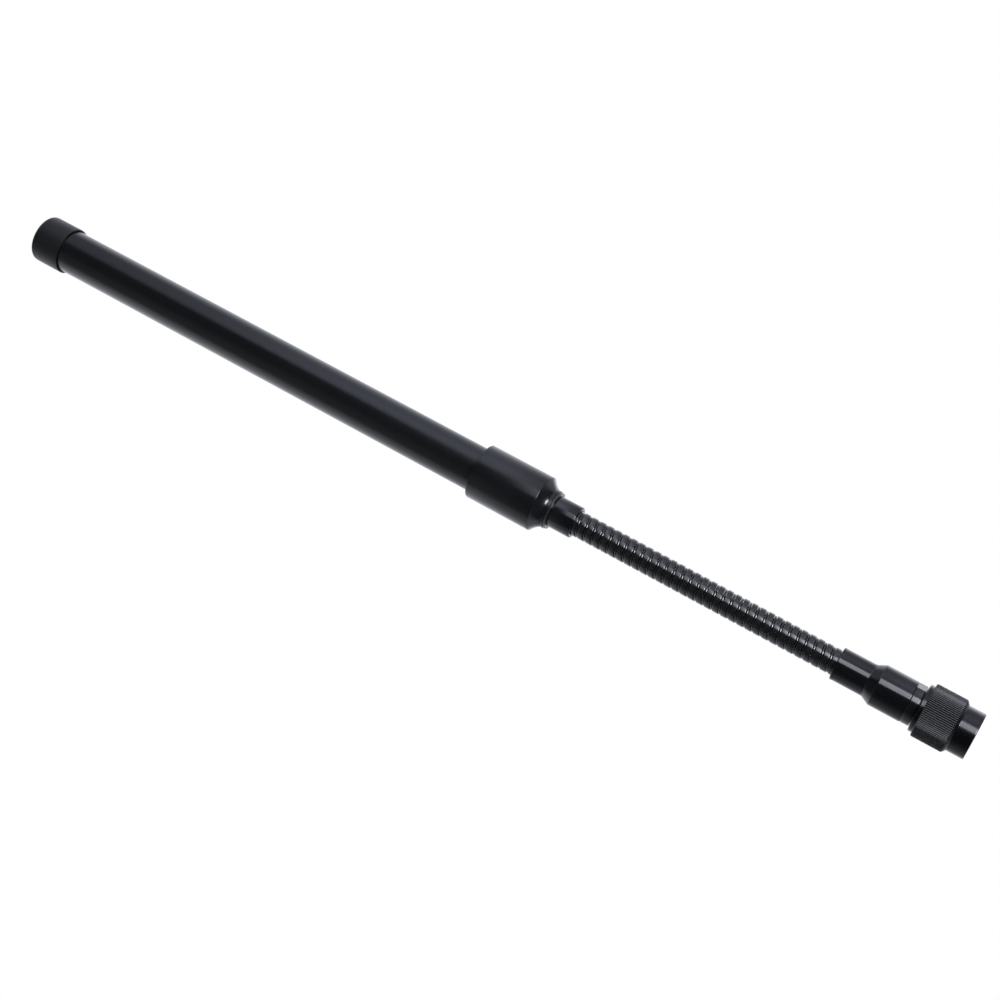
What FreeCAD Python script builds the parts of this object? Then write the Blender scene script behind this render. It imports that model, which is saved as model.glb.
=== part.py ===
import FreeCAD, Part

import math
import os

import Sketcher

from FreeCAD import Vector

# Driving sizes in millimetres, angles in degrees
# The part stands on +Z: the front rim of the coupling nut is at height 0 and the tip is at the top
SIZES = {
    # running gap round what turns or slides, and seat gap round what is pushed or screwed in
    "running_gap": 0.05,
    "seat_gap": 0.05,
    "end_gap": 0.1,
    # coupling nut, from its front rim to its back
    "nut_front_radius": 6.4,
    "nut_front_length": 4.67,
    "nut_cone_length": 0.67,
    "knurl_radius": 7.4,
    "knurl_length": 8.61,
    "knurl_step": 0.3,
    "knurl_count": 84,
    "knurl_depth": 0.24,
    "nut_neck_radius": 6.55,
    "nut_neck_length": 1.12,
    "nut_back_radius": 5.7,
    "nut_back_length": 0.33,
    "nut_rim_bevel": 0.25,
    "mouth_radius": 5.6,
    "mouth_depth": 1.8,
    "thread_radius": 5.15,
    "thread_depth": 7.6,
    "chamber_radius": 6.0,
    "chamber_depth": 2.6,
    # connector body with its wrench flats
    "body_front_height": 8.6,
    "body_front_radius": 5.0,
    "body_front_length": 1.8,
    "body_neck_radius": 4.7,
    "grip_radius": 5.575,
    "grip_length": 2.38,
    "wrench_width": 10.4,
    "wrench_turn": -21,
    "body_tail_radius": 4.2,
    "body_tail_length": 6.1,
    "cable_bore_radius": 1.1,
    # ring that holds the nut on the body
    "ring_width": 0.7,
    "ring_groove_depth": 0.5,
    "ring_outer_radius": 5.75,
    "ring_split": 1.2,
    # contacts and insulator
    "contact_tip_height": 2.2,
    "contact_radius": 4.05,
    "contact_wall": 1.6,
    "contact_bevel": 0.35,
    "contact_slots": 4,
    "slot_width": 0.4,
    "slot_depth": 4.2,
    "contact_flange_radius": 4.7,
    "contact_flange_length": 0.7,
    "contact_tail_length": 2.2,
    "gasket_seat_depth": 0.1,
    "gasket_length": 0.9,
    "gasket_radius": 5.0,
    "insulator_front_height": 6.8,
    "insulator_radius": 3.5,
    "insulator_back_length": 8.4,
    "pin_tip_height": 3.2,
    "pin_radius": 0.67,
    "pin_bevel": 0.4,
    "pin_root_radius": 0.75,
    "pin_barrel_radius": 1.1,
    "pin_shoulder_height": 12.4,
    "pin_bore_depth": 4.0,
    # cable, from the middle outwards
    "conductor_radius": 0.26,
    "dielectric_radius": 0.77,
    "braid_radius": 1.0,
    "jacket_radius": 1.25,
    "cable_layer_gap": 0.02,
    "braid_start": 3.0,
    "ferrule_radius": 2.2,
    "ferrule_length": 6.0,
    # sleeve between the connector and the gooseneck
    "sleeve_wide_radius": 5.7,
    "sleeve_wide_length": 8.82,
    "sleeve_cone_length": 2.35,
    "sleeve_slim_radius": 4.5,
    "sleeve_slim_length": 9.05,
    "sleeve_bevel": 0.25,
    "sleeve_bore_radius": 2.9,
    "gooseneck_seat_depth": 3.2,
    # gooseneck: a round spring wire with a flat-crowned wire wedged between its turns
    "gooseneck_length": 77.35,
    "gooseneck_radius": 3.55,
    "gooseneck_gap": 0.1,
    "wire_pitch": 2.4,
    "wire_stations": 12,
    "flat_wire_crown": 1.5,
    "flat_wire_depth": 1.15,
    "round_wire_drop": 0.16,
    "round_wire_crown": 0.56,
    "round_wire_foot": 1.5,
    "round_wire_depth": 1.5,
    # neck bushing at the head of the gooseneck
    "bushing_radius": 4.5,
    "bushing_length": 6.93,
    "bushing_bevel": 0.3,
    "bushing_seat_depth": 5.4,
    "bushing_tail_radius": 3.9,
    "bushing_tail_length": 9.0,
    "bushing_bore_radius": 1.35,
    "seal_radius": 5.35,
    "seal_length": 0.65,
    # collar that joins the bushing and the tube; its hollow flare turns at two shares of its length
    "collar_neck_radius": 5.55,
    "collar_neck_length": 0.57,
    "collar_flare_length": 3.0,
    "flare_low_rise": 0.35,
    "flare_low_reach": 0.17,
    "flare_mid_rise": 0.65,
    "flare_mid_reach": 0.48,
    "collar_radius": 7.92,
    "collar_length": 19.42,
    "collar_floor_length": 4.9,
    "collar_lip_bevel": 0.25,
    "lock_room_radius": 5.8,
    "lock_room_length": 5.1,
    "lock_nut_width": 9.8,
    "lock_nut_length": 3.0,
    # tube with its cap
    "tube_radius": 6.35,
    "tube_wall": 1.0,
    "tube_seen_length": 142.71,
    "cap_radius": 6.95,
    "cap_length": 9.67,
    "cap_end_wall": 0.95,
    "cap_corner": 1.2,
    "cap_lip_bevel": 0.2,
    # aerial inside the tube
    "feed_distance": 56.98,
    "choke_radius": 4.2,
    "choke_wall": 0.4,
    "choke_length": 52.0,
    "choke_top_wall": 1.5,
    "feed_block_length": 6.0,
    "feed_bead_depth": 3.0,
    "feed_bead_radius": 1.1,
    "rod_radius": 1.5,
    "rod_top_room": 7.5,
    "rod_bore_depth": 4.0,
    "spacer_length": 4.0,
    "lower_spacer_inset": 3.0,
    "upper_spacer_inset": 3.0,
}

document = FreeCAD.newDocument("gooseneck_antenna")


class Size:
    """A number with the sheet expression that gives it."""

    def __init__(self, text, value):
        self.text = text
        self.value = value

    def __add__(self, other):
        other = as_size(other)
        return Size(f"({self.text} + {other.text})", self.value + other.value)

    def __sub__(self, other):
        other = as_size(other)
        return Size(f"({self.text} - {other.text})", self.value - other.value)

    def __mul__(self, other):
        other = as_size(other)
        return Size(f"({self.text} * {other.text})", self.value * other.value)

    def __truediv__(self, other):
        other = as_size(other)
        return Size(f"({self.text} / {other.text})", self.value / other.value)


def as_size(number):
    """A Size as it is, or a plain number made one."""
    if isinstance(number, Size):
        return number
    return Size(str(number), number)


def fill_sheet():
    """Write every driving size in a cell of its own and return the Sizes by name."""
    sheet = document.addObject("Spreadsheet::Sheet", "Sheet")
    found = {}
    for row, (name, value) in enumerate(SIZES.items(), start=1):
        sheet.set(f"A{row}", name)
        sheet.set(f"B{row}", str(value))
        sheet.setAlias(f"B{row}", name)
        found[name] = Size(f"Sheet.{name}", value)
    document.recompute()
    return found


SIZE = fill_sheet()


def size(name):
    """The Size of one named cell."""
    return SIZE[name]


ORIGIN = as_size(0)

# Heights along the axis that more than one piece shares
KNURL_FOOT = size("nut_front_length") + size("nut_cone_length")
KNURL_TOP = KNURL_FOOT + size("knurl_length")
NUT_NECK_TOP = KNURL_TOP + size("nut_neck_length")
NUT_TOP = NUT_NECK_TOP + size("nut_back_length")
THREAD_TOP = size("mouth_depth") + size("thread_depth")
CHAMBER_TOP = THREAD_TOP + size("chamber_depth")
GRIP_FOOT = NUT_TOP + size("end_gap")
GRIP_TOP = GRIP_FOOT + size("grip_length")
BODY_TOP = GRIP_TOP + size("body_tail_length")
BODY_FRONT = size("body_front_height")
RING_TOP = CHAMBER_TOP - size("end_gap")
RING_FOOT = RING_TOP - size("ring_width")
CONTACT_SEAT = BODY_FRONT + size("contact_tail_length")
FLANGE_FOOT = BODY_FRONT - size("contact_flange_length")
GASKET_FOOT = FLANGE_FOOT - size("gasket_length")
INSULATOR_TOP = CONTACT_SEAT + size("insulator_back_length")
FERRULE_TOP = BODY_TOP + size("ferrule_length")
SLEEVE_CONE_FOOT = GRIP_TOP + size("sleeve_wide_length")
SLEEVE_CONE_TOP = SLEEVE_CONE_FOOT + size("sleeve_cone_length")
SLEEVE_TOP = SLEEVE_CONE_TOP + size("sleeve_slim_length")
GOOSENECK_FOOT = SLEEVE_TOP - size("gooseneck_seat_depth")
BUSHING_FOOT = SLEEVE_TOP + size("gooseneck_length")
BUSHING_SEAT = BUSHING_FOOT + size("bushing_seat_depth")
BUSHING_TOP = BUSHING_FOOT + size("bushing_length")
SEAL_TOP = BUSHING_TOP + size("seal_length")
TAIL_TOP = SEAL_TOP + size("bushing_tail_length")
COLLAR_FLARE_FOOT = SEAL_TOP + size("collar_neck_length")
COLLAR_FLARE_TOP = COLLAR_FLARE_FOOT + size("collar_flare_length")
COLLAR_TOP = COLLAR_FLARE_TOP + size("collar_length")
COLLAR_FLOOR = SEAL_TOP + size("collar_floor_length")
TUBE_FOOT = COLLAR_FLOOR + size("lock_room_length")
CAP_FOOT = COLLAR_TOP + size("tube_seen_length")
CAP_TOP = CAP_FOOT + size("cap_length")
TUBE_TOP = CAP_TOP - size("cap_end_wall")
TUBE_BORE = size("tube_radius") - size("tube_wall")
CHOKE_TOP = COLLAR_TOP + size("feed_distance")
CHOKE_FOOT = CHOKE_TOP - size("choke_length")
ROD_FOOT = CHOKE_TOP + size("feed_bead_depth")
ROD_TOP = TUBE_TOP - size("rod_top_room")


def origin_feature(body, role):
    """The origin plane or axis of a body that has this role."""
    for feature in body.Origin.OriginFeatures:
        if feature.Role == role:
            return feature
    raise ValueError(f"no origin feature {role}")


def new_body(name):
    """An empty body whose label names its file."""
    body = document.addObject("PartDesign::Body", name)
    body.Label = name
    return body


def new_sketch(body, name, plane, height=None, turn=None):
    """A sketch on one of the body's own origin planes, raised and turned about its normal."""
    sketch = body.newObject("Sketcher::SketchObject", name)
    sketch.AttachmentSupport = (origin_feature(body, plane), [""])
    sketch.MapMode = "FlatFace"
    if height is not None:
        sketch.setExpression(".AttachmentOffset.Base.z", height.text)
    if turn is not None:
        sketch.setExpression(".AttachmentOffset.Rotation.Angle", turn.text)
    return sketch


def tie(sketch, geometry, across, along):
    """Tie the start of a line to its place, measured from the sketch's own axes."""
    for kind, distance, axis in (("DistanceX", across, -2), ("DistanceY", along, -1)):
        if distance.value == 0:
            sketch.addConstraint(Sketcher.Constraint("PointOnObject", geometry, 1, axis))
            continue
        place = Sketcher.Constraint(kind, -1, 1, geometry, 1, distance.value)
        index = sketch.addConstraint(place)
        sketch.setExpression(f"Constraints[{index}]", distance.text)


def draw_outline(sketch, points):
    """Draw a closed outline of straight lines through points that are tied to the sheet."""
    flat = [Vector(across.value, along.value, 0) for across, along in points]
    count = len(flat)
    for index in range(count):
        sketch.addGeometry(Part.LineSegment(flat[index], flat[(index + 1) % count]), False)
    for index in range(count):
        following = (index + 1) % count
        sketch.addConstraint(Sketcher.Constraint("Coincident", index, 2, following, 1))
    for index, (across, along) in enumerate(points):
        tie(sketch, index, across, along)


def revolve(body, outline, name="Turning"):
    """Turn an outline of radius and height once round the axis."""
    sketch = new_sketch(body, f"{body.Name}_{name}_outline", "XZ_Plane")
    draw_outline(sketch, [(as_size(radius), as_size(height)) for radius, height in outline])
    feature = body.newObject("PartDesign::Revolution", f"{body.Name}_{name}")
    feature.Profile = sketch
    feature.ReferenceAxis = (sketch, ["V_Axis"])
    feature.Angle = 360
    body.Tip = feature
    return feature


def turned(name, outline):
    """A body turned from an outline of radius and height."""
    body = new_body(name)
    revolve(body, outline)
    return body


def tube(name, outer, inner, foot, top):
    """A plain tube."""
    return turned(name, [(inner, foot), (outer, foot), (outer, top), (inner, top)])


def pocket(body, name, points, height, length, turn=None):
    """Cut a straight pocket upwards from a height, and check that it takes material away."""
    document.recompute()
    before = body.Shape.Volume
    sketch = new_sketch(body, f"{body.Name}_{name}_outline", "XY_Plane", height, turn)
    draw_outline(sketch, points)
    feature = body.newObject("PartDesign::Pocket", f"{body.Name}_{name}")
    feature.Profile = sketch
    feature.setExpression("Length", length.text)
    feature.Reversed = True
    body.Tip = feature
    document.recompute()
    if body.Shape.Volume >= before:
        raise ValueError(f"{body.Name}_{name} cuts nothing")
    return feature


def pattern_round(body, feature, count):
    """Repeat a feature evenly round the axis."""
    pattern = body.newObject("PartDesign::PolarPattern", f"{feature.Name}_pattern")
    pattern.Originals = [feature]
    pattern.Axis = (origin_feature(body, "Z_Axis"), [""])
    pattern.Angle = 360
    pattern.setExpression("Occurrences", count.text)
    body.Tip = pattern
    return pattern


def round_edge(body, name, radius, height, fillet):
    """Round the circular edge at one radius and height."""
    document.recompute()
    base = body.Tip
    edges = []
    for index, edge in enumerate(base.Shape.Edges, start=1):
        circle = edge.Curve
        if not isinstance(circle, Part.Circle):
            continue
        level = abs(circle.Center.z - height.value) < 1e-4
        if level and abs(circle.Radius - radius.value) < 1e-4:
            edges.append(f"Edge{index}")
    feature = body.newObject("PartDesign::Fillet", f"{body.Name}_{name}")
    feature.Base = (base, edges)
    feature.setExpression("Radius", fillet.text)
    body.Tip = feature
    return feature


# Coupling nut: turned blank, then one groove of its straight knurl, repeated
def make_coupling_nut():
    knurl = size("knurl_radius")
    front = size("nut_front_radius")
    rim = size("nut_rim_bevel")
    mouth = size("mouth_radius")
    thread = size("thread_radius")
    chamber = size("chamber_radius")
    hole = size("body_neck_radius") + size("running_gap")
    body = turned("coupling_nut", [
        (mouth, ORIGIN),
        (front - rim, ORIGIN),
        (front, rim),
        (front, size("nut_front_length")),
        (knurl - size("knurl_step"), KNURL_FOOT),
        (knurl, KNURL_FOOT),
        (knurl, KNURL_TOP),
        (size("nut_neck_radius"), KNURL_TOP),
        (size("nut_neck_radius"), NUT_NECK_TOP),
        (size("nut_back_radius"), NUT_TOP),
        (hole, NUT_TOP),
        (hole, CHAMBER_TOP),
        (chamber, CHAMBER_TOP),
        (chamber, THREAD_TOP),
        (thread, THREAD_TOP),
        (thread, size("mouth_depth")),
        (mouth, size("mouth_depth")),
    ])
    depth = size("knurl_depth")
    half_width = depth * 2
    groove = pocket(
        body,
        "groove",
        [
            (knurl - depth, ORIGIN),
            (knurl + depth, half_width),
            (knurl + depth, ORIGIN - half_width),
        ],
        KNURL_FOOT,
        size("knurl_length"),
    )
    pattern_round(body, groove, size("knurl_count"))
    return body


# Connector body: the nut turns on its neck, a wrench holds its two flats, its tail goes in the sleeve
def make_connector_body():
    grip = size("grip_radius")
    neck = size("body_neck_radius")
    groove = neck - size("ring_groove_depth")
    groove_gap = size("seat_gap")
    front_top = BODY_FRONT + size("body_front_length")
    seat = size("contact_radius") + size("seat_gap")
    insulator = size("insulator_radius") + size("seat_gap")
    body = turned("connector_body", [
        (seat, BODY_FRONT),
        (size("body_front_radius"), BODY_FRONT),
        (size("body_front_radius"), front_top),
        (neck, front_top),
        (neck, RING_FOOT - groove_gap),
        (groove, RING_FOOT - groove_gap),
        (groove, RING_TOP + groove_gap),
        (neck, RING_TOP + groove_gap),
        (neck, GRIP_FOOT),
        (grip, GRIP_FOOT),
        (grip, GRIP_TOP),
        (size("body_tail_radius"), GRIP_TOP),
        (size("body_tail_radius"), BODY_TOP),
        (size("cable_bore_radius"), BODY_TOP),
        (size("cable_bore_radius"), INSULATOR_TOP),
        (insulator, INSULATOR_TOP),
        (insulator, CONTACT_SEAT),
        (seat, CONTACT_SEAT),
    ])
    flat = size("wrench_width") / 2
    feature = pocket(
        body,
        "flat",
        [
            (flat, ORIGIN - grip),
            (grip * 2, ORIGIN - grip),
            (grip * 2, grip),
            (flat, grip),
        ],
        GRIP_FOOT,
        size("grip_length"),
        size("wrench_turn"),
    )
    pattern_round(body, feature, as_size(2))
    return body


def make_retaining_ring():
    inner = size("body_neck_radius") - size("ring_groove_depth") + size("seat_gap")
    body = tube("retaining_ring", size("ring_outer_radius"), inner, RING_FOOT, RING_TOP)
    half_split = size("ring_split") / 2
    outside = size("ring_outer_radius") * 2
    pocket(
        body,
        "split",
        [
            (ORIGIN, ORIGIN - half_split),
            (outside, ORIGIN - half_split),
            (outside, half_split),
            (ORIGIN, half_split),
        ],
        RING_FOOT,
        size("ring_width"),
    )
    return body


# Outer contact: a springy tube whose front is slit into fingers
def make_outer_contact():
    outer = size("contact_radius")
    inner = outer - size("contact_wall")
    bevel = size("contact_bevel")
    tip = size("contact_tip_height")
    gasket_seat = outer - size("gasket_seat_depth")
    body = turned("outer_contact", [
        (inner, tip),
        (outer - bevel, tip),
        (outer, tip + bevel),
        (outer, GASKET_FOOT),
        (gasket_seat, GASKET_FOOT),
        (gasket_seat, FLANGE_FOOT),
        (size("contact_flange_radius"), FLANGE_FOOT),
        (size("contact_flange_radius"), BODY_FRONT),
        (outer, BODY_FRONT),
        (outer, CONTACT_SEAT),
        (inner, CONTACT_SEAT),
    ])
    half_slot = size("slot_width") / 2
    slot = pocket(
        body,
        "slot",
        [
            (ORIGIN, ORIGIN - half_slot),
            (outer * 2, ORIGIN - half_slot),
            (outer * 2, half_slot),
            (ORIGIN, half_slot),
        ],
        tip,
        size("slot_depth"),
    )
    pattern_round(body, slot, size("contact_slots"))
    return body


def make_gasket():
    inner = size("contact_radius")
    return tube("interface_gasket", size("gasket_radius"), inner, GASKET_FOOT, FLANGE_FOOT)


def make_insulator():
    wide = size("insulator_radius")
    slim = size("contact_radius") - size("contact_wall") - size("seat_gap")
    pin = size("pin_root_radius") + size("seat_gap")
    barrel = size("pin_barrel_radius") + size("seat_gap")
    shoulder = size("pin_shoulder_height")
    return turned("insulator", [
        (pin, size("insulator_front_height")),
        (slim, size("insulator_front_height")),
        (slim, CONTACT_SEAT),
        (wide, CONTACT_SEAT),
        (wide, INSULATOR_TOP),
        (barrel, INSULATOR_TOP),
        (barrel, shoulder),
        (pin, shoulder),
    ])


def make_center_pin():
    radius = size("pin_radius")
    bevel = size("pin_bevel")
    barrel = size("pin_barrel_radius")
    bore = size("conductor_radius") + size("seat_gap")
    shoulder = size("pin_shoulder_height")
    tip = size("pin_tip_height")
    return turned("center_pin", [
        (ORIGIN, tip),
        (radius - bevel, tip),
        (radius, tip + bevel * 2),
        (radius, size("insulator_front_height")),
        (size("pin_root_radius"), size("insulator_front_height")),
        (size("pin_root_radius"), shoulder),
        (barrel, shoulder),
        (barrel, INSULATOR_TOP),
        (bore, INSULATOR_TOP),
        (bore, INSULATOR_TOP - size("pin_bore_depth")),
        (ORIGIN, INSULATOR_TOP - size("pin_bore_depth")),
    ])


# Cable: four layers that run from the connector through the gooseneck to the feed point
def make_cable():
    gap = size("cable_layer_gap")
    conductor = size("conductor_radius")
    pin_bore_end = INSULATOR_TOP - size("pin_bore_depth")
    bodies = [
        turned("cable_conductor", [
            (ORIGIN, pin_bore_end),
            (conductor, pin_bore_end),
            (conductor, ROD_FOOT + size("rod_bore_depth")),
            (ORIGIN, ROD_FOOT + size("rod_bore_depth")),
        ]),
        tube(
            "cable_dielectric",
            size("dielectric_radius"),
            conductor + gap,
            INSULATOR_TOP,
            ROD_FOOT,
        ),
        tube(
            "cable_braid",
            size("braid_radius"),
            size("dielectric_radius") + gap,
            BODY_TOP - size("braid_start"),
            CHOKE_TOP,
        ),
        tube(
            "cable_jacket",
            size("jacket_radius"),
            size("braid_radius") + gap,
            BODY_TOP,
            CHOKE_TOP - size("choke_top_wall"),
        ),
    ]
    return bodies


def make_ferrule():
    inner = size("jacket_radius") + size("seat_gap")
    return tube("crimp_ferrule", size("ferrule_radius"), inner, BODY_TOP, FERRULE_TOP)


# Sleeve: wide over the connector's tail, slim where it holds the gooseneck
def make_sleeve():
    wide = size("sleeve_wide_radius")
    slim = size("sleeve_slim_radius")
    bevel = size("sleeve_bevel")
    tail = size("body_tail_radius") + size("seat_gap")
    bore = size("sleeve_bore_radius")
    seat = size("gooseneck_radius") + size("gooseneck_gap")
    return turned("connector_sleeve", [
        (tail, GRIP_TOP),
        (wide, GRIP_TOP),
        (wide, SLEEVE_CONE_FOOT),
        (slim, SLEEVE_CONE_TOP),
        (slim, SLEEVE_TOP - bevel),
        (slim - bevel, SLEEVE_TOP),
        (seat, SLEEVE_TOP),
        (seat, GOOSENECK_FOOT),
        (bore, GOOSENECK_FOOT),
        (bore, BODY_TOP),
        (tail, BODY_TOP),
    ])


# Gooseneck wires: the profile climbs one pitch each turn, right-handed, in flat facets
def wire_section(profile, angle, height):
    """The corners of a wire's profile where it has turned by an angle and climbed to a height."""
    return [
        Vector(radius * math.cos(angle), radius * math.sin(angle), height + rise)
        for radius, rise in profile
    ]


def wire_facets(lower, upper):
    """Two flat facets for each side of the profile, between one section and the next."""
    facets = []
    for index in range(len(lower)):
        following = (index + 1) % len(lower)
        corner = lower[following]
        far = upper[index]
        facets.append([lower[index], corner, far])
        facets.append([corner, upper[following], far])
    return facets


def make_wire(name, profile, foot, top):
    """A wire wound from a height up to another, with its ends cut square."""
    pitch = size("wire_pitch").value
    stations = int(size("wire_stations").value)
    steps = int((top - foot) / pitch * stations)
    sections = [
        wire_section(profile, 2 * math.pi * step / stations, foot + pitch * step / stations)
        for step in range(steps + 1)
    ]
    facets = [sections[0], sections[-1]]
    for lower, upper in zip(sections, sections[1:]):
        facets += wire_facets(lower, upper)
    faces = [Part.Face(Part.makePolygon(corners + corners[:1])) for corners in facets]
    shell = Part.makeShell(faces)
    shell.sewShape()
    solid = Part.makeSolid(shell)
    if solid.Volume < 0:
        solid.reverse()
    feature = document.addObject("Part::Feature", name)
    feature.Label = name
    feature.Shape = solid
    feature.Placement = FreeCAD.Placement()
    return feature


def make_gooseneck():
    """The flat-crowned wire and the round wire, half a pitch apart."""
    crown = size("flat_wire_crown").value
    radius = size("gooseneck_radius").value
    root = radius - size("flat_wire_depth").value
    flat_profile = [(radius, -crown / 2), (radius, crown / 2), (root, 0.0)]
    top = radius - size("round_wire_drop").value
    bottom = top - size("round_wire_depth").value
    half_top = size("round_wire_crown").value / 2
    half_foot = size("round_wire_foot").value / 2
    round_profile = [
        (top, -half_top),
        (top, half_top),
        (bottom, half_foot),
        (bottom, -half_foot),
    ]
    foot = GOOSENECK_FOOT.value + half_foot
    top = BUSHING_SEAT.value - half_foot
    half_pitch = size("wire_pitch").value / 2
    return [
        make_wire("gooseneck_round_wire", round_profile, foot, top - half_pitch),
        make_wire("gooseneck_flat_wire", flat_profile, foot + half_pitch, top),
    ]


def make_bushing():
    outer = size("bushing_radius")
    bevel = size("bushing_bevel")
    tail = size("bushing_tail_radius")
    bore = size("bushing_bore_radius")
    seat = size("gooseneck_radius") + size("gooseneck_gap")
    return turned("neck_bushing", [
        (seat, BUSHING_FOOT),
        (outer - bevel, BUSHING_FOOT),
        (outer, BUSHING_FOOT + bevel),
        (outer, BUSHING_TOP),
        (tail, BUSHING_TOP),
        (tail, TAIL_TOP),
        (bore, TAIL_TOP),
        (bore, BUSHING_SEAT),
        (seat, BUSHING_SEAT),
    ])


def make_seal_ring():
    inner = size("bushing_tail_radius") + size("seat_gap")
    return tube("neck_seal_ring", size("seal_radius"), inner, BUSHING_TOP, SEAL_TOP)


def make_lock_nut():
    """A six-sided nut on the bushing's tail, on the floor of the collar."""
    body = new_body("bushing_lock_nut")
    sketch = new_sketch(body, "lock_nut_outline", "XY_Plane", COLLAR_FLOOR)
    half = size("lock_nut_width") / 2
    half_side = half * round(math.tan(math.pi / 6), 6)
    corner = half_side * 2
    draw_outline(sketch, [
        (half, ORIGIN - half_side),
        (half, half_side),
        (ORIGIN, corner),
        (ORIGIN - half, half_side),
        (ORIGIN - half, ORIGIN - half_side),
        (ORIGIN, ORIGIN - corner),
    ])
    pad = body.newObject("PartDesign::Pad", "lock_nut_pad")
    pad.Profile = sketch
    pad.setExpression("Length", size("lock_nut_length").text)
    body.Tip = pad
    document.recompute()
    hole = new_sketch(body, "lock_nut_hole_outline", "XY_Plane", COLLAR_FLOOR)
    radius = size("bushing_tail_radius") + size("seat_gap")
    hole.addGeometry(Part.Circle(Vector(0, 0, 0), Vector(0, 0, 1), radius.value), False)
    hole.addConstraint(Sketcher.Constraint("Coincident", 0, 3, -1, 1))
    index = hole.addConstraint(Sketcher.Constraint("Radius", 0, radius.value))
    hole.setExpression(f"Constraints[{index}]", radius.text)
    cut = body.newObject("PartDesign::Pocket", "lock_nut_hole")
    cut.Profile = hole
    cut.setExpression("Length", size("lock_nut_length").text)
    cut.Reversed = True
    body.Tip = cut
    return body


# Collar: a short neck on the seal ring, a hollow flare and a long barrel that takes the tube
def make_collar():
    neck = size("collar_neck_radius")
    barrel = size("collar_radius")
    reach = barrel - neck
    length = size("collar_flare_length")
    bevel = size("collar_lip_bevel")
    seat = size("tube_radius") + size("seat_gap")
    hole = size("bushing_tail_radius") + size("seat_gap")
    room = size("lock_room_radius")
    return turned("base_collar", [
        (hole, SEAL_TOP),
        (neck, SEAL_TOP),
        (neck, COLLAR_FLARE_FOOT),
        (neck + reach * size("flare_low_reach"), COLLAR_FLARE_FOOT + length * size("flare_low_rise")),
        (neck + reach * size("flare_mid_reach"), COLLAR_FLARE_FOOT + length * size("flare_mid_rise")),
        (barrel, COLLAR_FLARE_TOP),
        (barrel, COLLAR_TOP - bevel),
        (barrel - bevel, COLLAR_TOP),
        (seat, COLLAR_TOP),
        (seat, TUBE_FOOT),
        (room, TUBE_FOOT),
        (room, COLLAR_FLOOR),
        (hole, COLLAR_FLOOR),
    ])


def make_tube():
    return tube("radome_tube", size("tube_radius"), TUBE_BORE, TUBE_FOOT, TUBE_TOP)


# Cap: a soft closed sleeve with a rounded end, pushed over the tube
def make_cap():
    inner = size("tube_radius") + size("seat_gap")
    outer = size("cap_radius")
    bevel = size("cap_lip_bevel")
    body = turned("tip_cap", [
        (inner, CAP_FOOT),
        (outer - bevel, CAP_FOOT),
        (outer, CAP_FOOT + bevel),
        (outer, CAP_TOP),
        (ORIGIN, CAP_TOP),
        (ORIGIN, TUBE_TOP),
        (inner, TUBE_TOP),
    ])
    round_edge(body, "corner", outer, CAP_TOP, size("cap_corner"))
    return body


# Aerial: a choke sleeve below the feed point and a rod above it, held centred by spacers
def make_choke():
    outer = size("choke_radius")
    inner = outer - size("choke_wall")
    hole = size("jacket_radius") + size("seat_gap")
    ceiling = CHOKE_TOP - size("choke_top_wall")
    return turned("choke_sleeve", [
        (inner, CHOKE_FOOT),
        (outer, CHOKE_FOOT),
        (outer, CHOKE_TOP),
        (size("braid_radius") + size("cable_layer_gap"), CHOKE_TOP),
        (size("braid_radius") + size("cable_layer_gap"), ceiling),
        (hole, ceiling),
        (inner, ceiling),
    ])


def make_feed_block():
    top = CHOKE_TOP + size("feed_block_length")
    outer = TUBE_BORE - size("seat_gap")
    rod = size("rod_radius") + size("seat_gap")
    return turned("feed_block", [
        (size("feed_bead_radius"), CHOKE_TOP),
        (outer, CHOKE_TOP),
        (outer, top),
        (rod, top),
        (rod, ROD_FOOT),
        (size("feed_bead_radius"), ROD_FOOT),
    ])


def make_rod():
    bore = size("conductor_radius") + size("seat_gap")
    radius = size("rod_radius")
    bore_top = ROD_FOOT + size("rod_bore_depth")
    return turned("radiator_rod", [
        (bore, ROD_FOOT),
        (radius, ROD_FOOT),
        (radius, ROD_TOP),
        (ORIGIN, ROD_TOP),
        (ORIGIN, bore_top),
        (bore, bore_top),
    ])


def make_spacers():
    outer = TUBE_BORE - size("seat_gap")
    lower = CHOKE_FOOT + size("lower_spacer_inset")
    upper = ROD_TOP - size("upper_spacer_inset")
    lower_hole = size("choke_radius") + size("seat_gap")
    upper_hole = size("rod_radius") + size("seat_gap")
    length = size("spacer_length")
    return [
        tube("lower_spacer", outer, lower_hole, lower, lower + length),
        tube("upper_spacer", outer, upper_hole, upper - length, upper),
    ]


def check_document():
    """Stop if any object of the document failed."""
    document.recompute()
    for item in document.Objects:
        if "Invalid" in item.State or "Error" in item.State:
            raise ValueError(f"{item.Name} is {item.State}")


def write_parts(pieces):
    """Check each piece's shape and write it to a file named by its label."""
    os.makedirs("parts", exist_ok=True)
    for piece in pieces:
        shape = piece.Shape
        if shape.isNull() or not shape.isValid() or len(shape.Solids) != 1:
            raise ValueError(f"{piece.Label} is no single valid solid")
        shape.exportStep(os.path.join("parts", f"{piece.Label}.step"))
        print(piece.Label, round(shape.Volume, 2))


PIECES = [
    make_coupling_nut(),
    make_connector_body(),
    make_retaining_ring(),
    make_outer_contact(),
    make_gasket(),
    make_insulator(),
    make_center_pin(),
    *make_cable(),
    make_ferrule(),
    make_sleeve(),
    *make_gooseneck(),
    make_bushing(),
    make_seal_ring(),
    make_lock_nut(),
    make_collar(),
    make_tube(),
    make_cap(),
    make_choke(),
    make_feed_block(),
    make_rod(),
    *make_spacers(),
]
check_document()
write_parts(PIECES)
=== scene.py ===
import logging
import math
from dataclasses import dataclass, field
from enum import Enum

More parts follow.
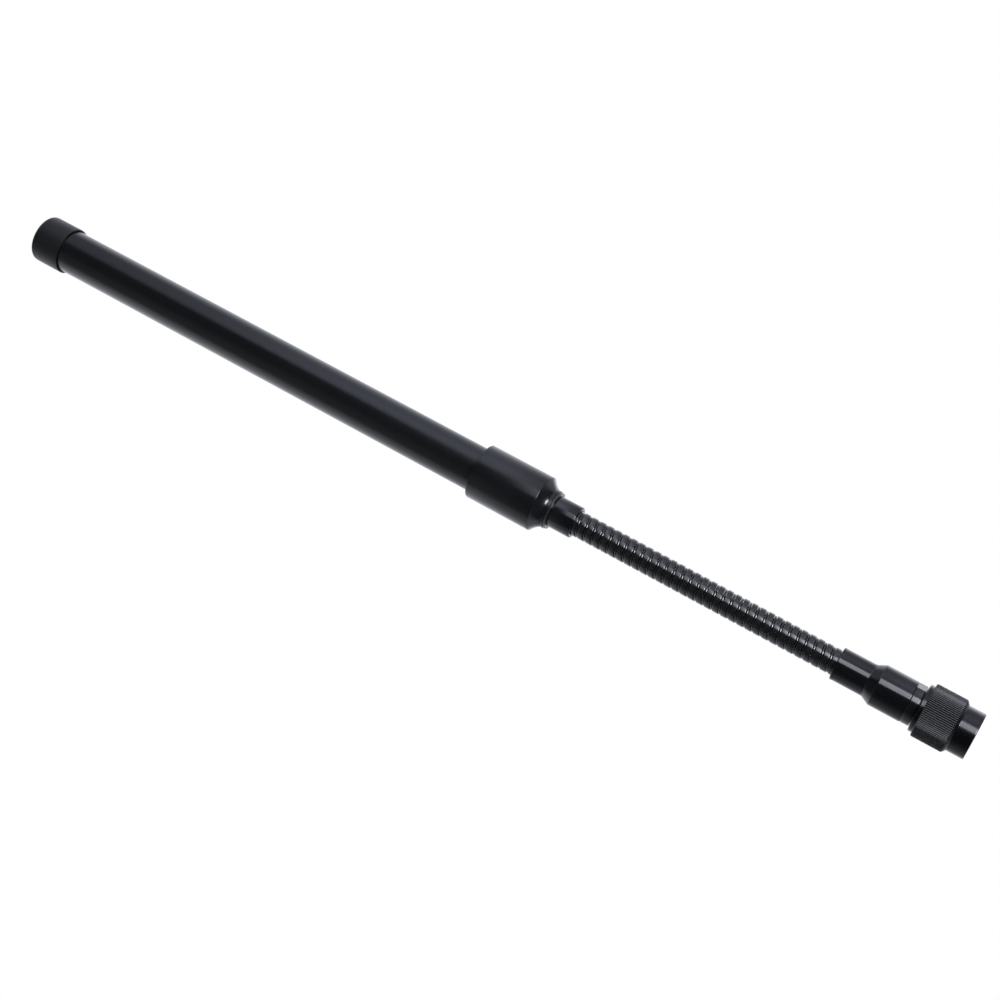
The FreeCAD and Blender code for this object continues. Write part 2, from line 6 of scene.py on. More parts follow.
import bmesh
import bpy
from mathutils import Matrix, Vector


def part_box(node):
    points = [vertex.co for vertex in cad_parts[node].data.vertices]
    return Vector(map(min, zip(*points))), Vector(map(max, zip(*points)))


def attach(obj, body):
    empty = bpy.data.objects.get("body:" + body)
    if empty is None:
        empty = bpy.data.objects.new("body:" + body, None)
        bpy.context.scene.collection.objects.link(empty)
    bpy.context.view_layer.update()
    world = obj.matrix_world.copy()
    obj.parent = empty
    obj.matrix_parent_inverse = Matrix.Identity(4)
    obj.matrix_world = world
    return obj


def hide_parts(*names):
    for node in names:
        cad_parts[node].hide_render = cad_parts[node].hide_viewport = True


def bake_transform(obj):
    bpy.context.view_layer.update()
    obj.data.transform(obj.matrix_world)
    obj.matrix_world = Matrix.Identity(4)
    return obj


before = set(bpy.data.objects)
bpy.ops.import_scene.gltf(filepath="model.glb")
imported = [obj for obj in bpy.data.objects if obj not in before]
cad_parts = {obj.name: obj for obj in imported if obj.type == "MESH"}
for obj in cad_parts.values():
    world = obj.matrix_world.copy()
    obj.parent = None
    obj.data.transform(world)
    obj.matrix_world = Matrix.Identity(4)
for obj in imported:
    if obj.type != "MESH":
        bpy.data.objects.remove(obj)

logging.basicConfig(level=logging.INFO, format="%(message)s")
log = logging.getLogger("gooseneck_antenna")

Socket = bpy.types.NodeSocket
Colour = tuple[float, float, float]
Point = tuple[float, float]

MM = 0.001
TURN = 2 * math.pi
NIL = 1e-6
SMOOTH_ANGLE = math.radians(28)
CORNER_STEPS = 5
LONGEST_ROUNDING = 0.49
WHITE = (1.0, 1.0, 1.0, 1.0)
ROUGHNESS_SPREAD = 0.04
GRAIN_HEIGHT = 0.1 * MM
GRAIN_DETAIL = 2.0
LATHE_STRETCH = (0.02, 0.02, 1.0)
WEAVE_TURN = (0.0, math.pi / 4, math.pi / 4)
CLOUD_SCALE = 60.0
CLOUD_DETAIL = 3.0


class Wiring:
    """The nodes of one tree, with short ways to add and join them."""

    def __init__(self, tree: bpy.types.NodeTree) -> None:
        """Take hold of a tree."""
        self.tree = tree

    def feed(self, end: Socket, value: object) -> None:
        """Link a socket to an input, or set the input to a plain value.

        Args:
            end: The input.
            value: The socket or plain value that it gets.
        """
        if isinstance(value, Socket):
            self.tree.links.new(value, end)
        else:
            end.default_value = value

    def node(
        self, kind: str, inputs: dict[str | int, object] | None = None, **settings: object
    ) -> bpy.types.Node:
        """Add a node.

        Args:
            kind: The node's type.
            inputs: A socket or a plain value for each input that isn't left as it is.
            settings: The node's own settings.

        Returns:
            The node.
        """
        made = self.tree.nodes.new(kind)
        for key, value in settings.items():
            setattr(made, key, value)
        for name, value in (inputs or {}).items():
            self.feed(made.inputs[name], value)
        return made

    def math(self, operation: str, *terms: Socket | float) -> Socket:
        """Add a math node on sockets or plain numbers and return its result."""
        return self.node("ShaderNodeMath", dict(enumerate(terms)), operation=operation).outputs[0]

    def times(self, first: Socket | float, second: Socket | float) -> Socket:
        """Multiply two values."""
        return self.math("MULTIPLY", first, second)

    def split(self, place: Socket) -> tuple[Socket, ...]:
        """Split coordinates into x, y and z."""
        parts = self.node("ShaderNodeSeparateXYZ", {"Vector": place})
        return tuple(parts.outputs[axis] for axis in "XYZ")

    def joined(self, **parts: Socket) -> Socket:
        """Join X, Y and Z into a vector; one that isn't given is nil."""
        return self.node("ShaderNodeCombineXYZ", parts).outputs["Vector"]

    def mapped(self, value: Socket, before: Point, after: Point = (0.0, 1.0)) -> Socket:
        """Map one range of values onto another."""
        ranges = dict(zip(("From Min", "From Max", "To Min", "To Max"), (*before, *after)))
        return self.node("ShaderNodeMapRange", {"Value": value, **ranges}).outputs["Result"]

    def tinted(self, factor: Socket, first: object, second: object) -> Socket:
        """Mix two colours, each a socket or a plain colour."""
        inputs = {"Factor": factor, "A": first, "B": second}
        return self.node("ShaderNodeMix", inputs, data_type="RGBA").outputs["Result"]


class Grain(Enum):
    """The fine surface that a finish has."""

    SKIN = "fine cloudy skin, as on moulded or painted parts"
    TURNED = "fine rings round the axis, as a lathe leaves them"
    WOVEN = "crossed strands, as on a cable's braid"


@dataclass(frozen=True)
class Finish:
    """A surface finish, from which one procedural material is made."""

    name: str
    colour: Colour
    roughness: float
    grain: Grain = Grain.SKIN
    metallic: float = 0.0
    ior: float = 1.5
    grain_scale: float = 900.0
    grain_depth: float = 0.05
    tint_spread: float = 0.15

    def material(self) -> bpy.types.Material:
        """Make the finish's material on its first use.

        Returns:
            The material.
        """
        found = bpy.data.materials.get(self.name)
        if found is not None:
            return found
        material = bpy.data.materials.new(self.name)
        material.use_nodes = True
        material.diffuse_color = (*self.colour, 1.0)
        tree = Wiring(material.node_tree)
        place = tree.node("ShaderNodeTexCoord").outputs["Object"]
        pattern = self._pattern(tree, place)
        low, high = (
            (*(min(part * share, 1.0) for part in self.colour), 1.0)
            for share in (1.0 - self.tint_spread, 1.0 + self.tint_spread)
        )
        rough = (self.roughness - ROUGHNESS_SPREAD, self.roughness + ROUGHNESS_SPREAD)
        depth = {"Strength": self.grain_depth, "Distance": GRAIN_HEIGHT, "Height": pattern}
        look = {
            "Metallic": self.metallic,
            "IOR": self.ior,
            "Base Color": tree.tinted(self._shade(tree, place), low, high),
            "Roughness": tree.mapped(pattern, (0.0, 1.0), rough),
            "Normal": tree.node("ShaderNodeBump", depth).outputs["Normal"],
        }
        shader = material.node_tree.nodes["Principled BSDF"]
        for name, value in look.items():
            tree.feed(shader.inputs[name], value)
        return material

    def _pattern(self, tree: Wiring, place: Socket) -> Socket:
        """Build the nodes of the fine grain.

        Args:
            tree: The material's nodes.
            place: The coordinates that the grain reads.

        Returns:
            The socket that gives the grain's height, from 0 to 1.
        """
        stretch = tree.node("ShaderNodeMapping", {"Vector": place})
        inputs = {"Vector": stretch.outputs["Vector"], "Scale": self.grain_scale}
        if self.grain is Grain.WOVEN:
            stretch.inputs["Rotation"].default_value = WEAVE_TURN
            return tree.node("ShaderNodeTexChecker", inputs).outputs["Fac"]
        if self.grain is Grain.TURNED:
            stretch.inputs["Scale"].default_value = LATHE_STRETCH
        return tree.node("ShaderNodeTexNoise", {**inputs, "Detail": GRAIN_DETAIL}).outputs["Fac"]

    def _shade(self, tree: Wiring, place: Socket) -> Socket:
        """Build the nodes that vary the colour; they return a factor from dark to light."""
        cloud = {"Vector": place, "Scale": CLOUD_SCALE, "Detail": CLOUD_DETAIL}
        return tree.node("ShaderNodeTexNoise", cloud).outputs["Fac"]


@dataclass(frozen=True)
class KnurlPaintedHighlightFinish(Finish):
    """A finish whose colour is painted lighter on each crest of a straight knurl, as a painted
    highlight, and darker in the grooves, as painted shade.
    """

    teeth: int = 84
    band_centre: float = 9.64
    band_reach: float = 4.2
    sharpness: float = 3.0

    def _shade(self, tree: Wiring, place: Socket) -> Socket:
        """Build the nodes of the painted highlight on each crest and the painted shade in the
        grooves.

        Args:
            tree: The material's nodes.
            place: The coordinates that the knurl reads.

        Returns:
            The socket that gives a factor from painted shade to painted highlight.
        """
        # The crests get a painted highlight and the grooves painted shade, by each point's angle
        # round the axis, inside the knurled band only.
        x, y, z = tree.split(place)
        wave = tree.math("SINE", tree.times(tree.math("ARCTAN2", y, x), self.teeth / 2))
        crest = tree.math("POWER", tree.math("ABSOLUTE", wave), self.sharpness)
        inside = tree.math("COMPARE", z, self.band_centre * MM, self.band_reach * MM)
        return tree.times(crest, inside)


TUBE_BLACK = Finish("tube_satin_black", (0.0036, 0.0037, 0.0042), 0.22, grain_scale=700.0)
COLLAR_BLACK = Finish("collar_satin_black", (0.0036, 0.0037, 0.0042), 0.2)
CAP_RUBBER = Finish(
    "cap_soft_black", (0.007, 0.007, 0.0072), 0.45, ior=1.4, grain_scale=1600.0, grain_depth=0.15
)
SLEEVE_BLACK = Finish(
    "sleeve_gloss_black", (0.0027, 0.0028, 0.0034), 0.13, Grain.TURNED, ior=1.55
)
PLATED_BLACK = Finish("plug_plated_black", (0.0025, 0.0025, 0.003), 0.17, Grain.TURNED, ior=1.65)
# The nut's colour carries a painted highlight on each knurl crest and painted shade in the grooves;
# the tint spread sets how strong they are.
KNURL_BLACK = KnurlPaintedHighlightFinish(
    "nut_plated_black", (0.011, 0.011, 0.0118), 0.17, Grain.TURNED, ior=1.52, tint_spread=0.86
)
BODY_BLACK = Finish("body_plated_black", (0.003, 0.003, 0.0035), 0.14, Grain.TURNED, ior=1.68)
FLAT_WIRE_BLACK = Finish("flat_wire_oxide_black", (0.005, 0.005, 0.005), 0.17, ior=1.72)
ROUND_WIRE_BLACK = Finish("round_wire_oxide_black", (0.004, 0.004, 0.004), 0.14, ior=1.75)
SEAL_RUBBER = Finish("seal_rubber_black", (0.012, 0.012, 0.012), 0.25, ior=1.6)
CONTACT_PLATE = Finish("contact_bright_plate", (0.78, 0.74, 0.66), 0.22, Grain.TURNED, 1.0)
PIN_GOLD = Finish("pin_gold_plate", (0.95, 0.7, 0.3), 0.18, Grain.TURNED, 1.0)
PLAIN_BRASS = Finish("plain_brass", (0.8, 0.6, 0.3), 0.3, Grain.TURNED, 1.0)
COPPER = Finish("bare_copper", (0.85, 0.45, 0.3), 0.25, metallic=1.0)
WAXY_WHITE = Finish("insulator_waxy_white", (0.82, 0.82, 0.8), 0.45)
BRAID_METAL = Finish(
    "braid_tinned", (0.62, 0.62, 0.6), 0.35, Grain.WOVEN, 1.0, grain_scale=2500.0, grain_depth=0.5
)
JACKET_BLACK = Finish("cable_jacket_black", (0.03, 0.03, 0.03), 0.4)
SPACER_GREY = Finish("spacer_grey", (0.45, 0.45, 0.43), 0.55)


@dataclass(frozen=True)
class Corner:
    """One corner of a turned outline, in millimetres."""

    radius: float
    height: float
    rounding: float = 0.0


@dataclass(frozen=True)
class Extent:
    """Where a piece of the frame stands on the axis, in millimetres."""

    foot: float
    top: float
    radius: float

    @classmethod
    def of(cls, node: str) -> "Extent":
        """Read the extent of one node of the frame.

        Args:
            node: The node.

        Returns:
            Its extent.
        """
        low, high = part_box(node)
        reach = min(-low[0], -low[1], high[0], high[1])
        return cls(low[2] / MM, high[2] / MM, reach / MM)


def rounded(corners: list[Corner], closed: bool) -> list[Point]:
    """Turn corners into outline points, with a short curve in place of each rounded corner.

    Args:
        corners: The outline's corners in order.
        closed: Whether the last corner is joined to the first.

    Returns:
        Points of radius and height in millimetres.
    """
    points: list[Point] = []
    count = len(corners)
    for index, corner in enumerate(corners):
        at_end = not closed and index in (0, count - 1)
        if corner.rounding <= 0 or at_end:
            points.append((corner.radius, corner.height))
            continue
        here = Vector((corner.radius, corner.height))
        before = corners[index - 1]
        after = corners[(index + 1) % count]
        to_before = Vector((before.radius, before.height)) - here
        to_after = Vector((after.radius, after.height)) - here
        reach = corner.rounding / math.tan(to_before.angle(to_after) / 2)
        reach = min(reach, *(LONGEST_ROUNDING * side.length for side in (to_before, to_after)))
        start = here + to_before.normalized() * reach
        end = here + to_after.normalized() * reach
        for step in range(CORNER_STEPS + 1):
            part = step / CORNER_STEPS
            spot = start * (1 - part) ** 2 + here * 2 * part * (1 - part) + end * part**2
            points.append((spot.x, spot.y))
    return points


def divided(outline: list[Point], longest: float, closed: bool) -> list[Point]:
    """Divide the straights of an outline.

    Args:
        outline: The outline's points.
        longest: The longest step along a straight, in millimetres.
        closed: Whether the last point is joined to the first.

    Returns:
        The outline's points and those between them.
    """
    count = len(outline)
    points: list[Point] = []
    for index in range(count if closed else count - 1):
        start = Vector(outline[index])
        end = Vector(outline[(index + 1) % count])
        steps = max(1, math.ceil((end - start).length / longest))
        for step in range(steps):
            spot = start.lerp(end, step / steps)
            points.append((spot.x, spot.y))
    if not closed:
        points.append(outline[-1])
    return points


def lathe_ring(
    shape: bmesh.types.BMesh, radius: float, height: float, segments: int
) -> list[bmesh.types.BMVert]:
    """Add a ring of points, or one point on the axis where the radius is nil.

    Args:
        shape: The mesh that gets the points.
        radius: The ring's radius, in metres.
        height: Its height, in metres.
        segments: How many points it has.

    Returns:
        The points in order.
    """
    if radius <= NIL:
        return [shape.verts.new((0.0, 0.0, height))]
    angles = [TURN * index / segments for index in range(segments)]
    return [
        shape.verts.new((radius * math.cos(angle), radius * math.sin(angle), height))
        for angle in angles
    ]


def lathe_mesh(
    name: str, corners: list[Corner], segments: int = 160, longest: float | None = None
) -> bpy.types.Mesh:
    """Turn an outline round the axis into a closed mesh.

    Args:
        name: The mesh's name.
        corners: The outline; it is closed unless both its ends lie on the axis.
        segments: Divisions round the axis.
        longest: The longest step along a straight, in millimetres, or None for whole straights.

    Returns:
        The mesh, in metres, with its faces outwards.
    """
    closed = corners[0].radius > 0 or corners[-1].radius > 0
    outline = rounded(corners, closed)
    if longest is not None:
        outline = divided(outline, longest, closed)
    shape = bmesh.new()
    rings = [lathe_ring(shape, radius * MM, height * MM, segments) for radius, height in outline]
    pairs = list(zip(rings, rings[1:]))
    if closed:
        pairs.append((rings[-1], rings[0]))
    for lower, upper in pairs:
        for index in range(segments):
            following = (index + 1) % segments
            around = [
                lower[index % len(lower)],
                lower[following % len(lower)],
                upper[following % len(upper)],
                upper[index % len(upper)],
            ]
            unique = list(dict.fromkeys(around))
            if len(unique) > 2:
                shape.faces.new(unique)
    bmesh.ops.recalc_face_normals(shape, faces=shape.faces)
    mesh = bpy.data.meshes.new(name)
    shape.to_mesh(mesh)
    shape.free()
    return mesh


def tube_corners(outer: float, inner: float, foot: float, top: float) -> list[Corner]:
    """The outline of a plain tube, or of a rod where the inner radius is nil."""
    return [Corner(inner, foot), Corner(outer, foot), Corner(outer, top), Corner(inner, top)]


def finished(mesh: bpy.types.Mesh, name: str, finish: Finish) -> bpy.types.Object:
    """Link a mesh as an object with one finish and smooth shading between sharp edges.

    Args:
        mesh: The piece's mesh, in its place.
        name: The piece's name.
        finish: The piece's finish.

    Returns:
        The piece.
    """
    mesh.materials.clear()
    mesh.materials.append(finish.material())
    mesh.polygons.foreach_set("use_smooth", [True] * len(mesh.polygons))
    mesh.set_sharp_from_angle(angle=SMOOTH_ANGLE)
    thing = bpy.data.objects.new(name, mesh)
    bpy.context.scene.collection.objects.link(thing)
    return thing


def stand_for(thing: bpy.types.Object, node: str) -> None:
    """Hide a node of the frame, whose place a piece takes.

    Args:
        thing: The piece.
        node: The node that it replaces.
    """
    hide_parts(node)
    log.info("made %s", thing.name)


def carry(thing: bpy.types.Object, body: str, node: str) -> None:
    """Let a piece ride on a body in place of a node of the frame."""
    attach(thing, body)
    stand_for(thing, node)


def turn_piece(
    name: str,
    corners: list[Corner],
    finish: Finish,
    body: str,
    slot: str,
    node: str,
    segments: int = 160,
    longest: float | None = None,
) -> None:
    """Turn a piece from its corners and let it ride on a body in place of a node.

    Args:
        name: The piece's name.
        corners: Its outline.
        finish: Its finish.
        body: The body that it rides on.
        slot: Not used.
        node: The node that it replaces.
        segments: Divisions round the axis.
        longest: The longest step along a straight, in millimetres.
    """
    mesh = lathe_mesh(name, corners, segments, longest)
    carry(finished(mesh, name, finish), body, node)


def dress_nodes(finish: Finish, *nodes: str) -> None:
    """Give pieces of the frame a finish and leave their shapes as they are.

    Args:
        finish: The finish.
        nodes: The nodes that get it.
    """
    for node in nodes:
        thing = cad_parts[node]
        thing.data.materials.clear()
        thing.data.materials.append(finish.material())
        log.info("dressed %s", node)


class ShapeTree(Wiring):
    """A geometry node tree with named inputs, run on one object to make a plain mesh."""

    def __init__(self, name: str, finish: Finish) -> None:
        """Start an empty tree that passes geometry in and out.

        Args:
            name: The tree's name.
            finish: The finish of what it makes.
        """
        super().__init__(bpy.data.node_groups.new(name, "GeometryNodeTree"))
        self.finish = finish
        for way in ("INPUT", "OUTPUT"):
            self.tree.interface.new_socket(
                "Geometry", in_out=way, socket_type="NodeSocketGeometry"
            )
        self.source = self.node("NodeGroupInput")
        self.sink = self.node("NodeGroupOutput")

    def numbers(self, defaults: dict[str, float]) -> dict[str, Socket]:
        """Add the tree's named inputs.

        Args:
            defaults: Each input's name and default; an input is whole where its default is.

        Returns:
            Each input's socket inside the tree.
        """
        for name, default in defaults.items():
            kind = "NodeSocketInt" if isinstance(default, int) else "NodeSocketFloat"
            made = self.tree.interface.new_socket(name, in_out="INPUT", socket_type=kind)
            made.default_value = default
        return {name: self.source.outputs[name] for name in defaults}

    def powered(self, value: Socket, power: Socket) -> Socket:
        """Raise a value to a power and keep its sign."""
        size = self.math("POWER", self.math("ABSOLUTE", value), power)
        return self.times(size, self.math("SIGN", value))

    def moved(self, geometry: Socket, spot: Socket) -> Socket:
        """Move each point of a geometry to a spot of its own."""
        inputs = {"Geometry": geometry, "Position": spot}
        return self.node("GeometryNodeSetPosition", inputs).outputs["Geometry"]

    def close(self, geometry: Socket) -> None:
        """End the tree in Realize Instances and Set Material.

        Args:
            geometry: The finished geometry.
        """
        real = self.node("GeometryNodeRealizeInstances", {"Geometry": geometry})
        inputs = {"Geometry": real.outputs["Geometry"], "Material": self.finish.material()}
        dressed = self.node("GeometryNodeSetMaterial", inputs)
        self.feed(self.sink.inputs[0], dressed.outputs["Geometry"])

    def run(self, mesh: bpy.types.Mesh, name: str, values: dict[str, float]) -> bpy.types.Object:
        """Run the tree on a mesh.

        Args:
            mesh: The mesh that goes in; it may be empty.
            name: The finished object's name.
            values: A value for each of the tree's named inputs.

        Returns:
            An object with a plain mesh and no modifier.
        """
        helper = bpy.data.objects.new(f"{name}_helper", mesh)
        bpy.context.scene.collection.objects.link(helper)
        modifier = helper.modifiers.new("shape", "NODES")
        modifier.node_group = self.tree
        for item in self.tree.interface.items_tree:
            if item.item_type == "SOCKET" and item.in_out == "INPUT" and item.name in values:
                modifier[item.identifier] = values[item.name]
        helper.update_tag()
        graph = bpy.context.evaluated_depsgraph_get()
        plain = bpy.data.meshes.new_from_object(helper.evaluated_get(graph), depsgraph=graph)
        plain.name = name
        helper.modifiers.remove(modifier)
        bpy.data.objects.remove(helper)
        return finished(plain, name, self.finish)


class WireTree(ShapeTree):
    """A wire wound round the axis, right-handed, with a crown outwards and a root inwards."""

    def __init__(self, name: str, finish: Finish) -> None:
        """Build the tree: a spiral, a profile of two half ellipses, and the wire between them.

        Args:
            name: The tree's name.
            finish: The wire's finish.
        """
        super().__init__(name, finish)
        size = self.numbers(
            {
                "Radius": 0.003,
                "Pitch": 0.002,
                "Foot": 0.0,
                "Turns": 1.0,
                "Start Angle": 0.0,
                "Half Width": 0.0005,
                "Crown": 0.0002,
                "Root": 0.0005,
                "Squareness": 1.0,
                "Steps Each Turn": 48,
                "Steps Across": 20,
            }
        )
        spiral = self.node(
            "GeometryNodeCurveSpiral",
            {
                "Reverse": True,
                "Resolution": size["Steps Each Turn"],
                "Rotations": size["Turns"],
                "Start Radius": size["Radius"],
                "End Radius": size["Radius"],
                "Height": self.times(size["Pitch"], size["Turns"]),
            },
        )
        upright = self.node(
            "GeometryNodeSetCurveNormal", {"Curve": spiral.outputs["Curve"]}, mode="Z_UP"
        )
        wire = self.node(
            "GeometryNodeCurveToMesh",
            {
                "Curve": upright.outputs["Curve"],
                "Profile Curve": self._profile(size),
                "Fill Caps": True,
            },
        )
        place = self.node(
            "GeometryNodeTransform",
            {
                "Geometry": wire.outputs["Mesh"],
                "Translation": self.joined(Z=size["Foot"]),
                "Rotation": self.joined(Z=size["Start Angle"]),
            },
        )
        self.close(place.outputs["Geometry"])

    def _profile(self, size: dict[str, Socket]) -> Socket:
        """Build the wire's profile.

        Args:
            size: The tree's inputs. The crown bulges away from the axis and the root reaches
                towards it. The squareness is 1 for ellipses and nearer 0 for squares.

        Returns:
            The profile's curve.
        """
        inputs = {"Radius": 1.0, "Resolution": size["Steps Across"]}
        circle = self.node("GeometryNodeCurvePrimitiveCircle", inputs, mode="RADIUS")
        place = self.split(self.node("GeometryNodeInputPosition").outputs["Position"])
        high, wide = (self.powered(part, size["Squareness"]) for part in place[:2])
        outwards = self.times(self.math("MAXIMUM", high, 0.0), size["Crown"])
        inwards = self.times(self.math("MINIMUM", high, 0.0), size["Root"])
        reach = self.math("ADD", outwards, inwards)
        spot = self.joined(X=reach, Y=self.times(wide, size["Half Width"]))
        return self.moved(circle.outputs["Curve"], spot)


class KnurlTree(ShapeTree):
    """Cuts straight grooves round a turned blank, in one band of its height."""

    def __init__(self, finish: Finish) -> None:
        """Build the tree: each point sinks towards the axis, by rounded crests of its angle.

        Args:
            finish: The knurled piece's finish.
        """
        super().__init__("straight_knurl", finish)
        size = self.numbers(
            {
                "Teeth": 84.0,
                "Depth": 0.0002,
                "Band Foot": 0.005,
                "Band Top": 0.013,
                "Least Radius": 0.007,
            }
        )
        x, y, z = self.split(self.node("GeometryNodeInputPosition").outputs["Position"])
        half_turns = self.times(self.times(self.math("ARCTAN2", y, x), size["Teeth"]), 0.5)
        crest = self.math("ABSOLUTE", self.math("SINE", half_turns))
        groove = self.times(self.math("SUBTRACT", 1.0, crest), size["Depth"])
        radius = self.math("SQRT", self.math("ADD", self.times(x, x), self.times(y, y)))
        above = self.math("GREATER_THAN", z, size["Band Foot"])
        inside = self.times(above, self.math("LESS_THAN", z, size["Band Top"]))
        chosen = self.times(inside, self.math("GREATER_THAN", radius, size["Least Radius"]))
        share = self.math("DIVIDE", self.times(groove, chosen), self.math("MAXIMUM", radius, NIL))
        factor = self.math("SUBTRACT", 1.0, share)
        spot = self.joined(X=self.times(x, factor), Y=self.times(y, factor), Z=z)
        self.close(self.moved(self.source.outputs["Geometry"], spot))


@dataclass
class Plug:
    """The screw-on plug: knurled nut, body with wrench flats, contacts and insulator."""

    nut: Extent = field(default_factory=lambda: Extent.of("coupling_nut"))
    body: Extent = field(default_factory=lambda: Extent.of("connector_body"))
    front_radius: float = 6.4
    front_length: float = 4.67
    cone_length: float = 0.67
    knurl_length: float = 8.61
    knurl_bevel: float = 0.22
    knurl_teeth: int = 84
    knurl_depth: float = 0.2
    band_margin: float = 0.01
    rim_margin: float = 0.05
    steps_each_tooth: int = 8
    neck_radius: float = 6.55
    neck_length: float = 1.12
    back_radius: float = 5.7
    hole_radius: float = 4.75
    mouth_radius: float = 5.6
    mouth_depth: float = 1.8
    thread_radius: float = 5.5
    thread_crest: float = 5.17
    thread_pitch: float = 0.907
    thread_top: float = 9.4
    thread_share: float = 0.46
    thread_sink: float = 0.08
    thread_steps: int = 72
    thread_across: int = 8
    chamber_radius: float = 6.0
    chamber_top: float = 12.0
    seat_radius: float = 4.1
    seat_top: float = 10.8
    flange_radius: float = 5.0
    flange_top: float = 10.4
    bearing_radius: float = 4.7
    groove_radius: float = 4.2
    groove_foot: float = 11.15
    groove_top: float = 11.95
    grip_foot: float = 15.5
    grip_top: float = 17.88
    tail_radius: float = 4.2
    room_radius: float = 3.55
    room_top: float = 19.2
    cable_hole: float = 1.1
    wrench_width: float = 10.4
    wrench_turn: float = -21.0

    def build(self) -> None:
        """Build every piece of the plug and dress the ones that keep their shape."""
        self.build_nut()
        self.build_thread()
        self.build_body()
        dress_nodes(CONTACT_PLATE, "outer_contact", "crimp_ferrule")
        dress_nodes(PIN_GOLD, "center_pin")
        dress_nodes(WAXY_WHITE, "insulator")
        dress_nodes(SEAL_RUBBER, "interface_gasket")
        dress_nodes(PLAIN_BRASS, "retaining_ring")

    def build_nut(self) -> None:
        """Turn the nut's blank and knurl it."""
        knurl_foot = self.front_length + self.cone_length
        knurl_top = knurl_foot + self.knurl_length
        knurl = self.nut.radius
        bevel = self.knurl_bevel
        corners = [
            Corner(self.mouth_radius, self.nut.foot, 0.12),
            Corner(self.front_radius, self.nut.foot, 0.3),
            Corner(self.front_radius, self.front_length, 0.25),
            Corner(knurl - bevel, knurl_foot, 0.1),
            Corner(knurl, knurl_foot + bevel, 0.05),
            Corner(knurl, knurl_top - bevel, 0.05),
            Corner(knurl - bevel, knurl_top, 0.05),
            Corner(self.neck_radius, knurl_top, 0.1),
            Corner(self.neck_radius, knurl_top + self.neck_length, 0.12),
            Corner(self.back_radius, self.nut.top, 0.12),
            Corner(self.hole_radius, self.nut.top, 0.1),
            Corner(self.hole_radius, self.chamber_top),
            Corner(self.chamber_radius, self.chamber_top),
            Corner(self.chamber_radius, self.thread_top),
            Corner(self.thread_radius, self.thread_top),
            Corner(self.thread_radius, self.mouth_depth),
            Corner(self.mouth_radius, self.mouth_depth),
        ]
        values = {
            "Teeth": float(self.knurl_teeth),
            "Depth": self.knurl_depth * MM,
            "Band Foot": (knurl_foot - self.band_margin) * MM,
            "Band Top": (knurl_top + self.band_margin) * MM,
            "Least Radius": (knurl - bevel - self.rim_margin) * MM,
        }
        blank = lathe_mesh("nut_blank", corners, self.knurl_teeth * self.steps_each_tooth)
        nut = KnurlTree(KNURL_BLACK).run(blank, "knurled_nut", values)
        carry(nut, "coupling", "coupling_nut")

    def build_thread(self) -> None:
        """Wind the nut's internal thread."""
        values = {
            "Radius": self.thread_radius * MM,
            "Pitch": self.thread_pitch * MM,
            "Foot": (self.mouth_depth + self.thread_pitch / 2) * MM,
            "Turns": (self.thread_top - self.mouth_depth) / self.thread_pitch - 1,
            "Half Width": self.thread_pitch * self.thread_share * MM,
            "Crown": self.thread_sink * MM,
            "Root": (self.thread_radius - self.thread_crest) * MM,
            "Steps Each Turn": self.thread_steps,
            "Steps Across": self.thread_across,
        }
        tree = WireTree("internal_thread", PLATED_BLACK)
        thread = tree.run(bpy.data.meshes.new("thread_start"), "nut_thread", values)
        carry(thread, "coupling", "coupling_nut")

    def build_body(self) -> None:
        """Turn the connector body and press its two wrench flats."""
        grip = self.body.radius
        corners = [
            Corner(self.seat_radius, self.body.foot),
            Corner(self.flange_radius, self.body.foot, 0.1),
            Corner(self.flange_radius, self.flange_top),
            Corner(self.bearing_radius, self.flange_top),
            Corner(self.bearing_radius, self.groove_foot),
            Corner(self.groove_radius, self.groove_foot),
            Corner(self.groove_radius, self.groove_top),
            Corner(self.bearing_radius, self.groove_top),
            Corner(self.bearing_radius, self.grip_foot),
            Corner(grip, self.grip_foot, 0.18),
            Corner(grip, self.grip_top, 0.3),
            Corner(self.tail_radius, self.grip_top),
            Corner(self.tail_radius, self.body.top),
            Corner(self.cable_hole, self.body.top),
            Corner(self.cable_hole, self.room_top),
            Corner(self.room_radius, self.room_top),
            Corner(self.room_radius, self.seat_top),
            Corner(self.seat_radius, self.seat_top),
        ]
        mesh = lathe_mesh("plug_body", corners, segments=360)
        turn = math.radians(self.wrench_turn)
        side = Vector((math.cos(turn), math.sin(turn), 0))
        limit = self.wrench_width / 2 * MM
        for point in mesh.vertices:
            reach = point.co.dot(side)
            over = abs(reach) - limit
            if over > 0:
                point.co -= side * math.copysign(over, reach)
        body = finished(mesh, "plug_body", BODY_BLACK)
        carry(body, "connector", "connector_body")


